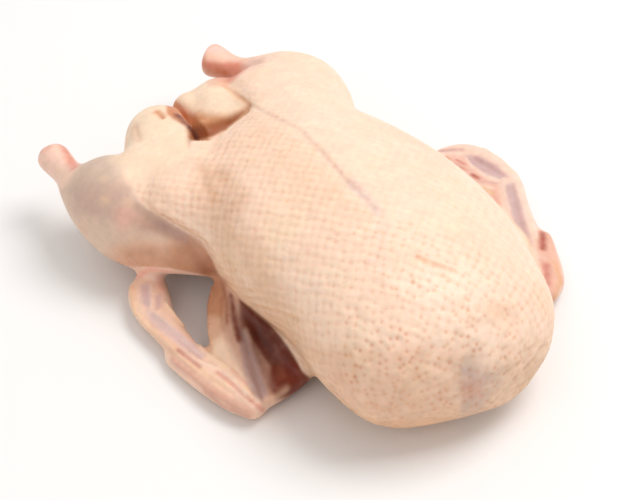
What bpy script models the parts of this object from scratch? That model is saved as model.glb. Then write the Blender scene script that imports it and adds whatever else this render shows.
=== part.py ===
"""A whole raw duck, plucked and oven-ready, lying on its back with the breast up.

The bird is one closed solid. Its neck end points along +X, its tail and legs along -X, its left
side is at -Y, and it rests on the plane z = 0. Every form (trunk, legs, tail, fat, wings and the
skin webs between them) is a loft through a few named stations. The forms are fused into one
skin, the vent is hollowed out, and the creases of the skin are pressed in. Sizes are in metres.
"""

import math
from collections import namedtuple

import bmesh
import bpy
from mathutils import Quaternion, Vector

# Real size of this bird against the one that the sizes and stations below describe
BIRD_SIZE = 0.93

# Driving sizes of the trunk
TRUNK_LENGTH = 0.31
TRUNK_WIDTH = 0.172
TRUNK_HEIGHT = 0.117
TRUNK_MIDDLE_Y = 0.013

# Driving sizes of the limbs: radii, and half thicknesses of what is flat
DRUMSTICK = 0.030
SHANK = 0.0085
KNUCKLE = 0.0115
WING = 0.0085
WEB = 0.0035

# How fine the fused skin is
SKIN_VOXEL = 0.0027
SKIN_RELAXING = 4
SKIN_TRIANGLES = 11400
RING_SIDES = 28
LOFT_STEPS = 5

# Looks of the raw skin
SKIN_COLOUR = (0.82, 0.62, 0.45, 1.0)
SKIN_ROUGHNESS = 0.5

# One cross-section of a form: its centre, half its width, how far it rises and drops, and how
# many degrees it leans
Station = namedtuple("Station", "x y z wide rise drop lean", defaults=[0.0])

# A line pressed into the skin: the points it runs through, its depth and half its width
Crease = namedtuple("Crease", "points depth reach")


def trunk_station(along, wide, top, widest, bottom, y=TRUNK_MIDDLE_Y):
    """A cross-section of the trunk, given as shares of the trunk's length, width and height."""
    return Station(
        x=along * TRUNK_LENGTH,
        y=y,
        z=widest * TRUNK_HEIGHT,
        wide=wide * TRUNK_WIDTH / 2,
        rise=(top - widest) * TRUNK_HEIGHT,
        drop=(widest - bottom) * TRUNK_HEIGHT,
    )


def round_station(x, y, z, radius):
    """A round cross-section of a limb."""
    return Station(x, y, z, radius, radius, radius)


def muscle_station(x, y, z, wide, rise, drop):
    """A cross-section of a leg that bulges more above than below."""
    return Station(x, y, z, wide, rise, drop)


def flat_station(x, y, z, wide, thick, lean=0.0):
    """A flat oval cross-section of a wing or of a sheet of skin."""
    return Station(x, y, z, wide, thick, thick, lean)


# From the tail end to the neck end
TRUNK = [
    trunk_station(-0.450, 0.26, 0.40, 0.28, 0.10),
    trunk_station(-0.400, 0.46, 0.54, 0.34, 0.06),
    trunk_station(-0.345, 0.60, 0.66, 0.42, 0.02),
    trunk_station(-0.290, 0.71, 0.80, 0.47, 0.00, y=0.014),
    trunk_station(-0.210, 0.84, 0.90, 0.50, -0.02, y=0.015),
    trunk_station(-0.100, 0.94, 0.96, 0.51, -0.03, y=0.014),
    trunk_station(0.020, 0.99, 0.99, 0.51, -0.03, y=0.014),
    trunk_station(0.140, 0.975, 1.00, 0.50, -0.03, y=0.014),
    trunk_station(0.270, 0.985, 0.98, 0.46, -0.03, y=0.0070),
    trunk_station(0.385, 0.88, 0.90, 0.42, -0.01, y=0.003),
    trunk_station(0.455, 0.67, 0.78, 0.41, 0.08, y=0.010),
    trunk_station(0.500, 0.42, 0.62, 0.38, 0.17, y=0.014),
    trunk_station(0.517, 0.20, 0.48, 0.33, 0.20, y=0.015),
]

NEAR_DRUMSTICK = [
    muscle_station(-0.048, -0.044, 0.040, 0.80 * DRUMSTICK, 0.80 * DRUMSTICK, 0.53 * DRUMSTICK),
    muscle_station(-0.066, -0.053, 0.039, 0.90 * DRUMSTICK, 0.92 * DRUMSTICK, 0.63 * DRUMSTICK),
    muscle_station(-0.090, -0.063, 0.038, 1.05 * DRUMSTICK, 1.08 * DRUMSTICK, 0.95 * DRUMSTICK),
    muscle_station(-0.112, -0.070, 0.041, 1.09 * DRUMSTICK, 1.27 * DRUMSTICK, 1.13 * DRUMSTICK),
    muscle_station(-0.132, -0.075, 0.044, 0.99 * DRUMSTICK, 1.16 * DRUMSTICK, 0.99 * DRUMSTICK),
    muscle_station(-0.147, -0.079, 0.045, 0.76 * DRUMSTICK, 0.86 * DRUMSTICK, 0.76 * DRUMSTICK),
    round_station(-0.157, -0.081, 0.046, 0.52 * DRUMSTICK),
    round_station(-0.166, -0.081, 0.047, 1.25 * SHANK),
    round_station(-0.178, -0.080, 0.048, 1.30 * SHANK),
    round_station(-0.187, -0.079, 0.048, 1.05 * KNUCKLE),
    round_station(-0.191, -0.078, 0.048, 1.0 * KNUCKLE),
]

# The skin of the flank where it hangs over the near drumstick
NEAR_FLAP = [
    flat_station(-0.097, -0.067, 0.069, 0.010, 0.004, 30),
    flat_station(-0.088, -0.066, 0.074, 0.014, 0.005, 42),
    flat_station(-0.079, -0.065, 0.075, 0.014, 0.006, 48),
    flat_station(-0.072, -0.063, 0.075, 0.014, 0.0065, 50),
    flat_station(-0.065, -0.061, 0.073, 0.014, 0.0065, 52),
    flat_station(-0.058, -0.058, 0.071, 0.014, 0.007, 55),
    flat_station(-0.051, -0.055, 0.068, 0.014, 0.007, 60),
    flat_station(-0.044, -0.054, 0.062, 0.014, 0.007, 66),
    flat_station(-0.038, -0.054, 0.053, 0.013, 0.007, 72),
    flat_station(-0.034, -0.054, 0.044, 0.010, 0.006, 76),
]

# Skin and flesh of the flank that overhang the near drumstick
NEAR_THIGH = [
    flat_station(0.000, -0.010, 0.055, 0.043, 0.045),
    flat_station(-0.035, -0.012, 0.056, 0.040, 0.042),
    flat_station(-0.065, -0.018, 0.056, 0.036, 0.039),
    flat_station(-0.090, -0.032, 0.055, 0.033, 0.032),
    flat_station(-0.112, -0.046, 0.055, 0.030, 0.031),
    flat_station(-0.130, -0.054, 0.053, 0.024, 0.027),
]

# The skin that runs smoothly from the belly to the near thigh
NEAR_HAUNCH = [
    flat_station(-0.118, -0.036, 0.056, 0.028, 0.026),
    flat_station(-0.095, -0.037, 0.060, 0.032, 0.028),
    flat_station(-0.070, -0.034, 0.063, 0.036, 0.029),
    flat_station(-0.040, -0.024, 0.064, 0.040, 0.032),
    flat_station(-0.005, -0.010, 0.061, 0.043, 0.036),
]

# Fat that fills the valley between the near drumstick and the thigh
NEAR_FOLD = [
    flat_station(-0.130, -0.060, 0.062, 0.010, 0.012),
    flat_station(-0.121, -0.064, 0.066, 0.013, 0.0135),
    flat_station(-0.109, -0.068, 0.066, 0.014, 0.0138),
    flat_station(-0.098, -0.069, 0.063, 0.013, 0.013),
    flat_station(-0.089, -0.066, 0.060, 0.009, 0.011),
]

NEAR_FAT = [
    flat_station(-0.055, -0.026, 0.064, 0.030, 0.028),
    flat_station(-0.092, -0.028, 0.060, 0.035, 0.031),
    flat_station(-0.122, -0.025, 0.058, 0.033, 0.030),
    flat_station(-0.145, -0.018, 0.058, 0.026, 0.025),
    flat_station(-0.158, -0.012, 0.058, 0.017, 0.017),
    flat_station(-0.163, -0.010, 0.058, 0.008, 0.009),
]

FAR_DRUMSTICK = [
    round_station(-0.070, 0.070, 0.052, 0.70 * DRUMSTICK),
    round_station(-0.090, 0.078, 0.053, 0.94 * DRUMSTICK),
    round_station(-0.115, 0.084, 0.054, 1.03 * DRUMSTICK),
    round_station(-0.138, 0.083, 0.054, 0.83 * DRUMSTICK),
    round_station(-0.156, 0.079, 0.053, 0.50 * DRUMSTICK),
    round_station(-0.170, 0.074, 0.052, 1.05 * SHANK),
    round_station(-0.182, 0.070, 0.051, 1.25 * SHANK),
    round_station(-0.192, 0.067, 0.051, 1.15 * KNUCKLE),
    round_station(-0.197, 0.065, 0.051, 1.05 * KNUCKLE),
]

FAR_THIGH = [
    flat_station(-0.010, 0.045, 0.056, 0.042, 0.042),
    flat_station(-0.050, 0.045, 0.060, 0.042, 0.042),
    flat_station(-0.090, 0.051, 0.062, 0.044, 0.037),
    flat_station(-0.120, 0.057, 0.061, 0.037, 0.030),
    flat_station(-0.138, 0.061, 0.059, 0.027, 0.022),
]

TAIL = [
    round_station(-0.085, 0.016, 0.044, 0.027),
    round_station(-0.114, 0.023, 0.050, 0.030),
    round_station(-0.135, 0.030, 0.055, 0.027),
    round_station(-0.150, 0.034, 0.058, 0.021),
    round_station(-0.160, 0.036, 0.060, 0.013),
]

# The low lip that closes the vent below, between the tail and the near fat
VENT_LIP = [
    round_station(-0.110, 0.002, 0.042, 0.020),
    round_station(-0.135, 0.008, 0.050, 0.018),
    round_station(-0.153, 0.014, 0.058, 0.014),
    round_station(-0.164, 0.017, 0.061, 0.008),
]

VENT = [
    flat_station(-0.162, 0.006, 0.070, 0.003, 0.012),
    flat_station(-0.144, 0.002, 0.071, 0.004, 0.014),
    flat_station(-0.126, -0.005, 0.073, 0.005, 0.015),
    flat_station(-0.103, -0.014, 0.076, 0.005, 0.012),
]

# The hollow under the rim of the belly's skin, beside the vent
VENT_HOLLOW = [
    flat_station(-0.1010, -0.026, 0.086, 0.004, 0.004, 35),
    flat_station(-0.1000, -0.017, 0.084, 0.012, 0.007, 35),
    flat_station(-0.0990, -0.006, 0.081, 0.017, 0.009, 35),
    flat_station(-0.1000, 0.005, 0.081, 0.017, 0.009, 35),
    flat_station(-0.1015, 0.015, 0.083, 0.013, 0.007, 35),
    flat_station(-0.1030, 0.024, 0.087, 0.004, 0.003, 35),
]

NEAR_ARM = [
    flat_station(0.095, -0.040, 0.040, 0.020, 0.022),
    flat_station(0.060, -0.045, 0.028, 0.020, 0.016),
    flat_station(0.020, -0.048, 0.020, 0.018, 0.014),
    flat_station(-0.020, -0.048, 0.018, 0.016, 0.012),
]

NEAR_FOREARM = [
    flat_station(-0.036, -0.050, 0.014, 0.014, 0.010),
    flat_station(-0.016, -0.064, 0.014, 0.018, 0.010),
    flat_station(0.012, -0.082, 0.012, 0.018, 0.009),
    flat_station(0.036, -0.094, 0.011, 0.015, WING),
    flat_station(0.052, -0.099, 0.010, 0.011, WING),
]

# The two bones that show through the skin of the near forearm
NEAR_ULNA = [
    round_station(-0.034, -0.054, 0.021, 0.008),
    round_station(-0.022, -0.066, 0.020, 0.008),
    round_station(-0.004, -0.080, 0.017, 0.0075),
    round_station(0.020, -0.093, 0.014, 0.007),
    round_station(0.046, -0.101, 0.012, 0.008),
]

NEAR_RADIUS = [
    round_station(-0.018, -0.054, 0.026, 0.007),
    round_station(-0.002, -0.068, 0.024, 0.007),
    round_station(0.014, -0.079, 0.020, 0.0065),
    round_station(0.032, -0.088, 0.016, 0.006),
    round_station(0.050, -0.096, 0.012, 0.007),
]

NEAR_WEB = [
    flat_station(-0.010, -0.052, 0.018, 0.012, 2 * WEB),
    flat_station(0.016, -0.062, 0.015, 0.020, 2 * WEB),
    flat_station(0.037, -0.074, 0.011, 0.023, 2.2 * WEB),
    flat_station(0.055, -0.076, 0.010, 0.019, 2.2 * WEB),
]

NEAR_HAND = [
    flat_station(0.055, -0.099, 0.010, 0.009, WING),
    flat_station(0.035, -0.104, 0.011, 0.012, WING),
    flat_station(0.012, -0.1055, 0.011, 0.0115, WING),
    flat_station(-0.008, -0.1055, 0.010, 0.0105, 0.95 * WING),
    flat_station(-0.028, -0.1025, 0.010, 0.0105, 0.95 * WING),
    flat_station(-0.045, -0.1000, 0.010, 0.0120, 0.95 * WING),
    flat_station(-0.058, -0.0970, 0.010, 0.0140, WING),
    flat_station(-0.071, -0.0905, 0.010, 0.0150, WING),
    flat_station(-0.081, -0.0835, 0.010, 0.0125, 0.9 * WING),
]

NEAR_THUMB = [
    flat_station(0.040, -0.108, 0.008, 0.006, 0.007),
    flat_station(0.010, -0.112, 0.007, 0.006, 0.006),
    flat_station(-0.010, -0.1135, 0.006, 0.005, 0.006),
    flat_station(-0.024, -0.1155, 0.006, 0.003, 0.005),
]

FAR_ARM = [
    flat_station(0.090, 0.055, 0.040, 0.020, 0.020),
    flat_station(0.050, 0.080, 0.028, 0.020, 0.015),
    flat_station(0.010, 0.100, 0.020, 0.018, 0.012),
    flat_station(-0.026, 0.114, 0.016, 0.016, 0.010),
]

FAR_FOREARM = [
    flat_station(-0.040, 0.124, 0.012, 0.012, 0.009),
    flat_station(-0.020, 0.136, 0.012, 0.022, 0.009),
    flat_station(0.012, 0.138, 0.012, 0.024, 0.009),
    flat_station(0.055, 0.122, 0.012, 0.020, 0.009),
    flat_station(0.105, 0.099, 0.012, 0.009, WING),
]

FAR_HAND = [
    flat_station(0.110, 0.099, 0.012, 0.007, WING),
    flat_station(0.095, 0.113, 0.013, 0.011, WING),
    flat_station(0.070, 0.128, 0.013, 0.011, WING),
    flat_station(0.048, 0.140, 0.013, 0.011, WING),
    flat_station(0.030, 0.152, 0.013, 0.011, WING),
    flat_station(0.015, 0.163, 0.012, 0.011, WING),
    flat_station(0.002, 0.166, 0.012, 0.010, WING),
    flat_station(-0.012, 0.168, 0.011, 0.010, 0.95 * WING),
    flat_station(-0.025, 0.166, 0.011, 0.009, 0.9 * WING),
    flat_station(-0.034, 0.157, 0.011, 0.008, 0.8 * WING),
    flat_station(-0.040, 0.146, 0.010, 0.006, 0.7 * WING),
]

FAR_THUMB = [
    flat_station(0.108, 0.102, 0.010, 0.006, 0.007),
    flat_station(0.102, 0.119, 0.010, 0.006, 0.007),
    flat_station(0.084, 0.132, 0.011, 0.006, 0.007),
    flat_station(0.067, 0.145, 0.014, 0.004, 0.005),
]

# The skin of the neck, folded under the breast
NECK = [
    flat_station(0.100, 0.016, 0.034, 0.040, 0.030),
    flat_station(0.131, 0.021, 0.032, 0.034, 0.024),
    flat_station(0.149, 0.024, 0.031, 0.024, 0.016),
    flat_station(0.157, 0.025, 0.030, 0.014, 0.009),
]

# Along the breastbone, from the tail end; a little to the near side because the bird leans
KEEL_LINE = Crease(
    points=[
        (-0.127, 0.027, 0.075),
        (-0.094, 0.019, 0.096),
        (-0.069, 0.017, 0.104),
        (-0.040, 0.015, 0.110),
        (-0.014, 0.010, 0.113),
        (0.020, 0.002, 0.116),
        (0.050, -0.004, 0.117),
    ],
    depth=0.0012,
    reach=0.0025,
)

# Between the tail and the skin of the far thigh
TAIL_LINE = Crease(
    points=[
        (-0.137, 0.036, 0.078),
        (-0.120, 0.035, 0.080),
        (-0.102, 0.027, 0.086),
    ],
    depth=0.004,
    reach=0.004,
)

# Edge of the flank's skin over the near drumstick
FLAP_LINE = Crease(
    points=[
        (-0.088, -0.077, 0.064),
        (-0.080, -0.075, 0.063),
        (-0.073, -0.073, 0.062),
        (-0.066, -0.071, 0.060),
        (-0.059, -0.068, 0.058),
        (-0.052, -0.066, 0.056),
        (-0.046, -0.064, 0.052),
        (-0.041, -0.064, 0.046),
        (-0.038, -0.062, 0.036),
    ],
    depth=0.004,
    reach=0.004,
)


def clear_scene():
    """Removes whatever the scene holds."""
    for thing in list(bpy.data.objects):
        bpy.data.objects.remove(thing, do_unlink=True)


def between(before, start, end, after, share):
    """A value on the smooth curve from start to end, that also heads from before and to after."""
    square, cube = share * share, share * share * share
    return 0.5 * (
        2 * start
        + (end - before) * share
        + (2 * before - 5 * start + 4 * end - after) * square
        + (3 * start - before - 3 * end + after) * cube
    )


def smoothed(stations):
    """The stations with more between them, on one smooth curve through all of their values."""
    ends = [stations[0]] + stations + [stations[-1]]
    finer = []
    for index in range(1, len(ends) - 2):
        four = ends[index - 1 : index + 3]
        for step in range(LOFT_STEPS):
            values = (between(*value, step / LOFT_STEPS) for value in zip(*four))
            finer.append(Station(*values))
    finer.append(stations[-1])
    return finer


def loft(name, stations, upright=False):
    """A closed solid whose skin runs through the stations' cross-sections."""
    finer = smoothed(stations)
    centres = [Vector(station[:3]) for station in finer]
    shell = bmesh.new()
    rings = []
    for index, station in enumerate(finer):
        ahead = centres[min(index + 1, len(finer) - 1)] - centres[max(index - 1, 0)]
        if upright:
            ahead = Vector((ahead.x, 0, 0))
        ahead.normalize()
        level = Vector((0, 0, 1)).cross(ahead).normalized()
        side = Quaternion(ahead, math.radians(station.lean)) @ level
        up = ahead.cross(side)
        ring = []
        for corner in range(RING_SIDES):
            angle = math.tau * corner / RING_SIDES
            height = station.rise if math.sin(angle) > 0 else station.drop
            offset = side * station.wide * math.cos(angle) + up * height * math.sin(angle)
            ring.append(shell.verts.new(centres[index] + offset))
        rings.append(ring)
    for first, second in zip(rings, rings[1:]):
        for corner in range(RING_SIDES):
            following = (corner + 1) % RING_SIDES
            shell.faces.new((first[corner], first[following], second[following], second[corner]))
    shell.faces.new(rings[0])
    shell.faces.new(reversed(rings[-1]))
    bmesh.ops.recalc_face_normals(shell, faces=shell.faces)
    mesh = bpy.data.meshes.new(name)
    shell.to_mesh(mesh)
    shell.free()
    form = bpy.data.objects.new(name, mesh)
    bpy.context.collection.objects.link(form)
    return form


def applied(thing):
    """Makes the object's modifiers part of its mesh."""
    graph = bpy.context.evaluated_depsgraph_get()
    finished = bpy.data.meshes.new_from_object(thing.evaluated_get(graph))
    thing.modifiers.clear()
    thing.data = finished


def skinned(thing):
    """Draws one even skin round everything that the object's mesh holds."""
    remesh = thing.modifiers.new("skin", "REMESH")
    remesh.mode = "VOXEL"
    remesh.voxel_size = SKIN_VOXEL
    relax = thing.modifiers.new("relax", "SMOOTH")
    relax.factor = 0.5
    relax.iterations = SKIN_RELAXING
    applied(thing)


def fused(name, forms):
    """One object whose skin runs round all the forms."""
    bpy.ops.object.select_all(action="DESELECT")
    for form in forms:
        form.select_set(True)
    bpy.context.view_layer.objects.active = forms[0]
    bpy.ops.object.join()
    whole = bpy.context.view_layer.objects.active
    whole.name = name
    skinned(whole)
    return whole


def hollowed(thing, hollow):
    """Cuts the hollow form out of the object."""
    cut = thing.modifiers.new("hollow", "BOOLEAN")
    cut.operation = "DIFFERENCE"
    cut.solver = "EXACT"
    cut.object = hollow
    applied(thing)
    bpy.data.objects.remove(hollow, do_unlink=True)


def nearness(point, line):
    """How far the point is from the line through the given points."""
    best = math.inf
    for start, end in zip(line, line[1:]):
        along = end - start
        share = (point - start).dot(along) / along.length_squared
        best = min(best, (start + along * min(max(share, 0.0), 1.0) - point).length)
    return best


def creased(thing, crease):
    """Presses the skin in along the crease, and less the farther it is from it."""
    line = [Vector(point) for point in crease.points]
    normals = [vertex.normal.copy() for vertex in thing.data.vertices]
    for vertex, normal in zip(thing.data.vertices, normals):
        share = nearness(vertex.co, line) / crease.reach
        if share < 2:
            vertex.co -= normal * crease.depth * math.exp(-share * share)


def thinned(thing):
    """Fewer triangles, kept where the skin bends most."""
    thing.data.calc_loop_triangles()
    thin = thing.modifiers.new("thin", "DECIMATE")
    thin.ratio = SKIN_TRIANGLES / len(thing.data.loop_triangles)
    thin.use_collapse_triangulate = True
    applied(thing)


def stood_on_origin(thing):
    """Flattens what would reach under the table, centres the bird and gives it its real size."""
    points = [vertex.co for vertex in thing.data.vertices]
    middle_x = (min(p.x for p in points) + max(p.x for p in points)) / 2
    middle_y = (min(p.y for p in points) + max(p.y for p in points)) / 2
    for point in points:
        point.x = (point.x - middle_x) * BIRD_SIZE
        point.y = (point.y - middle_y) * BIRD_SIZE
        point.z = max(point.z, 0.0) * BIRD_SIZE
    print("middle of the bird was at", round(middle_x, 5), round(middle_y, 5))


def skin_material():
    """Pale cream skin with a soft shine."""
    material = bpy.data.materials.new("raw duck skin")
    material.use_nodes = True
    shader = material.node_tree.nodes["Principled BSDF"]
    shader.inputs["Base Color"].default_value = SKIN_COLOUR
    shader.inputs["Roughness"].default_value = SKIN_ROUGHNESS
    shader.inputs["Metallic"].default_value = 0.0
    return material


def modelled_duck():
    """The bird as one solid, where its stations put it."""
    forms = [
        loft("trunk", TRUNK, upright=True),
        loft("near_drumstick", NEAR_DRUMSTICK),
        loft("near_thigh", NEAR_THIGH),
        loft("near_haunch", NEAR_HAUNCH),
        loft("near_fold", NEAR_FOLD),
        loft("near_flap", NEAR_FLAP),
        loft("near_fat", NEAR_FAT),
        loft("far_drumstick", FAR_DRUMSTICK),
        loft("far_thigh", FAR_THIGH),
        loft("tail", TAIL),
        loft("vent_lip", VENT_LIP),
        loft("near_arm", NEAR_ARM),
        loft("near_forearm", NEAR_FOREARM),
        loft("near_ulna", NEAR_ULNA),
        loft("near_radius", NEAR_RADIUS),
        loft("near_web", NEAR_WEB),
        loft("near_hand", NEAR_HAND),
        loft("near_thumb", NEAR_THUMB),
        loft("far_arm", FAR_ARM),
        loft("far_forearm", FAR_FOREARM),
        loft("far_hand", FAR_HAND),
        loft("far_thumb", FAR_THUMB),
        loft("neck", NECK),
    ]
    duck = fused("duck", forms)
    for hollow in (loft("vent", VENT), loft("vent_hollow", VENT_HOLLOW)):
        hollowed(duck, hollow)
    skinned(duck)
    for crease in (KEEL_LINE, TAIL_LINE, FLAP_LINE):
        creased(duck, crease)
    thinned(duck)
    return duck


def main():
    clear_scene()
    duck = modelled_duck()
    stood_on_origin(duck)
    duck.data.shade_smooth()
    duck.data.materials.append(skin_material())


if __name__ == "__main__":
    main()
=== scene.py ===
# %% [markdown]
# # A raw whole duck, dressed over its solid model
# The solid model is a plain closed shape of the bird. This script keeps that shape and adds what
# makes it look like a plucked duck: skin with rows of feather follicles, creases, thin grey skin
# over the drumstick, pink flesh at the cut legs and on the wings. Everything is in metres, and
# +X points to the neck end, -Y to the bird's left side, which the camera sees, and +Z up.

# %% Load the solid bird
import math
from collections import deque

import bmesh
import bpy
import numpy as np
from mathutils import Matrix, Quaternion, Vector, noise
from mathutils.bvhtree import BVHTree


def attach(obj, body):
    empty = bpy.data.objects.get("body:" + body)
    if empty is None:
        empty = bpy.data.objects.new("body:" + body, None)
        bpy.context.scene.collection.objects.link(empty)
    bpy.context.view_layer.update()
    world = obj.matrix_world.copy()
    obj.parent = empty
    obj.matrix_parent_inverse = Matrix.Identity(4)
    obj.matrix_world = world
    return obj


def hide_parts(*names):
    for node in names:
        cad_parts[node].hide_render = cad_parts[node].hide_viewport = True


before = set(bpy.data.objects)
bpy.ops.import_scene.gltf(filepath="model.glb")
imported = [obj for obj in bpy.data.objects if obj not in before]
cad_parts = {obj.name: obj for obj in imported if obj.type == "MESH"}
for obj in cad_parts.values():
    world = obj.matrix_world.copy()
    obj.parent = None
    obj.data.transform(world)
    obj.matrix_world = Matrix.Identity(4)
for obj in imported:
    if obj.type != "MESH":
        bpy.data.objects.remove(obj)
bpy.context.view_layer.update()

MM = 0.001

# %% [markdown]
# ## The camera
# The camera comes first, because many details are placed by where the picture shows them. It is
# an ordinary perspective camera that looks down at the bird from behind its left side. A pixel of
# the picture is a line of sight, and what lies on that line is found by following it to the skin.

# %% Camera and lines of sight
PICTURE = (625, 500)
AIM = Vector((0.01854, -0.03594, 0.0465))
AIM_PIXEL = (312, 250)
CAMERA_AZIMUTH, CAMERA_ELEVATION = math.radians(48), math.radians(45)
CAMERA_DISTANCE = 1.023
FOCAL_PIXELS = 1705
SENSOR_WIDTH = 36.0

camera_right = Vector((math.cos(CAMERA_AZIMUTH), math.sin(CAMERA_AZIMUTH), 0))
camera_back = Vector((
    math.sin(CAMERA_AZIMUTH) * math.cos(CAMERA_ELEVATION),
    -math.cos(CAMERA_AZIMUTH) * math.cos(CAMERA_ELEVATION),
    math.sin(CAMERA_ELEVATION),
))
camera_up = camera_back.cross(camera_right)
camera_place = AIM + camera_back * CAMERA_DISTANCE

lens = bpy.data.cameras.new("camera")
lens.sensor_width = SENSOR_WIDTH
lens.lens = SENSOR_WIDTH * FOCAL_PIXELS / PICTURE[0]
lens.shift_x = (PICTURE[0] / 2 - AIM_PIXEL[0]) / PICTURE[0]
lens.shift_y = (AIM_PIXEL[1] - PICTURE[1] / 2) / PICTURE[0]
camera = bpy.data.objects.new("camera", lens)
camera.matrix_world = Matrix.Translation(camera_place) @ Matrix(
    (camera_right, camera_up, camera_back)
).transposed().to_4x4()
bpy.context.collection.objects.link(camera)
bpy.context.scene.camera = camera


def line_of_sight(pixel):
    """The direction in which the camera sees a pixel of the picture."""
    across, down = pixel[0] - AIM_PIXEL[0], pixel[1] - AIM_PIXEL[1]
    return (camera_right * across - camera_up * down - camera_back * FOCAL_PIXELS).normalized()


def pixels_of(points):
    """Where the camera sees each of many points, as two columns of pixels."""
    away = points - np.array(camera_place)
    depth = -(away @ np.array(camera_back))
    across = AIM_PIXEL[0] + FOCAL_PIXELS * (away @ np.array(camera_right)) / depth
    down = AIM_PIXEL[1] - FOCAL_PIXELS * (away @ np.array(camera_up)) / depth
    return np.stack([across, down], axis=1)


print("lens", round(lens.lens, 1), "mm, camera at", [round(v, 3) for v in camera_place])

# %% [markdown]
# ## One even skin
# The solid has few triangles, large ones where the bird is smooth. Follicles a few millimetres
# apart need a fine and even mesh. Subdividing alone keeps the uneven layout, so the skin is
# rounded by subdivision first, then wrapped in an even grid by a voxel remesh, and relaxed. The
# side that lies on the table is thinned again, because nobody sees it.

# %% Base skin
SKIN_GRID = 1.27 * MM
SKIN_RELAXING = 6
UNDERSIDE_TRIANGLES = 9000
LYING_BELOW, HIDDEN_BELOW = 4 * MM, 45 * MM
FACING_DOWN = -0.35


def piece_from(name, mesh):
    """A new object that shows the mesh."""
    thing = bpy.data.objects.new(name, mesh)
    bpy.context.collection.objects.link(thing)
    return thing


def finished(thing):
    """Makes the object's modifiers part of its mesh and removes them."""
    graph = bpy.context.evaluated_depsgraph_get()
    mesh = bpy.data.meshes.new_from_object(thing.evaluated_get(graph))
    thing.modifiers.clear()
    thing.data = mesh
    return thing


def values_of(mesh, kind):
    """All places or normals of a mesh's vertices, one row each."""
    flat = np.zeros(len(mesh.vertices) * 3, np.float32)
    mesh.vertices.foreach_get(kind, flat)
    return flat.reshape(-1, 3).astype(float)


def welded_copy(source):
    """A copy of a mesh of loose triangles, with their corners joined."""
    shell = bmesh.new()
    shell.from_mesh(source)
    bmesh.ops.remove_doubles(shell, verts=shell.verts, dist=0.01 * MM)
    mesh = bpy.data.meshes.new("skin")
    shell.to_mesh(mesh)
    shell.free()
    return mesh


skin = piece_from("duck_skin", welded_copy(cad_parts["duck"].data))
rounding = skin.modifiers.new("rounding", "SUBSURF")
rounding.levels = rounding.render_levels = 1
wrapping = skin.modifiers.new("wrapping", "REMESH")
wrapping.mode = "VOXEL"
wrapping.voxel_size = SKIN_GRID
relaxing = skin.modifiers.new("relaxing", "SMOOTH")
relaxing.factor = 0.5
relaxing.iterations = SKIN_RELAXING
finished(skin)

places = values_of(skin.data, "co")
facing = values_of(skin.data, "normal")
turned_down = (facing[:, 2] < FACING_DOWN) & (places[:, 2] < HIDDEN_BELOW)
hidden_below = (places[:, 2] < LYING_BELOW) | turned_down
underside = skin.vertex_groups.new(name="underside")
underside.add(np.flatnonzero(hidden_below).tolist(), 1.0, "REPLACE")
skin.data.calc_loop_triangles()
all_triangles = len(skin.data.loop_triangles)
corners = np.zeros(all_triangles * 3, np.int32)
skin.data.loop_triangles.foreach_get("vertices", corners)
below_triangles = int(hidden_below[corners.reshape(-1, 3)].all(axis=1).sum())
thinning = skin.modifiers.new("thinning", "DECIMATE")
thinning.vertex_group = "underside"
thinning.vertex_group_factor = 10
thinning.ratio = (all_triangles - below_triangles + UNDERSIDE_TRIANGLES) / all_triangles
finished(skin)
skin.vertex_groups.clear()
skin.data.calc_loop_triangles()
print("skin triangles", all_triangles, "of them below", below_triangles,
      "after thinning", len(skin.data.loop_triangles))

# %% [markdown]
# ## Working on the skin like a maker
# A maker would press a crease into clay with the edge of a tool and dab colour on with a brush.
# The same is done here with numbers: a line or a patch of the picture is followed to the skin,
# and every vertex near it is moved along its normal or takes some of the colour, the less the
# farther away it is. Working on plain arrays of all vertices keeps this fast.

# %% Brushes that follow lines of the picture
places = values_of(skin.data, "co")
facing = values_of(skin.data, "normal")
LINE_STEP_PIXELS = 1.5
sight_tree = BVHTree.FromObject(skin, bpy.context.evaluated_depsgraph_get())


def on_skin(pixel):
    """The point of the skin that the camera sees at a pixel and the normal there, or None."""
    point, normal, _, _ = sight_tree.ray_cast(camera_place, line_of_sight(pixel))
    return (point, normal) if point else None


def traced(pixels):
    """Close points on the skin, and their normals, along a line through pixels of the picture."""
    found = []
    for (x, y), (next_x, next_y) in zip(pixels, pixels[1:] or pixels):
        steps = max(1, int(math.hypot(next_x - x, next_y - y) / LINE_STEP_PIXELS))
        for step in range(steps + 1):
            share = step / steps
            hit = on_skin((x + (next_x - x) * share, y + (next_y - y) * share))
            if hit:
                found.append((*hit[0], *hit[1]))
    rows = np.array(found)
    return rows[:, :3], rows[:, 3:]


def eased(share):
    """0 below 0, 1 above 1, and a smooth step between."""
    share = np.clip(share, 0, 1)
    return share * share * (3 - 2 * share)


def closeness(pixels, reach):
    """For each vertex, 1 on the traced line, falling smoothly to 0 at the reach in metres."""
    marks, normals = traced(pixels)
    low, high = marks.min(axis=0) - reach, marks.max(axis=0) + reach
    near = np.flatnonzero(((places > low) & (places < high)).all(axis=1))
    gap = np.full(len(near), np.inf)
    side = np.zeros(len(near))
    for mark, normal in zip(marks, normals):
        distance = np.linalg.norm(places[near] - mark, axis=1)
        closer = distance < gap
        gap = np.where(closer, distance, gap)
        side = np.where(closer, facing[near] @ normal, side)
    share = np.zeros(len(places))
    share[near] = (1 - eased(gap / reach)) * eased(side * 1.5 + 0.6)
    return share


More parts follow.
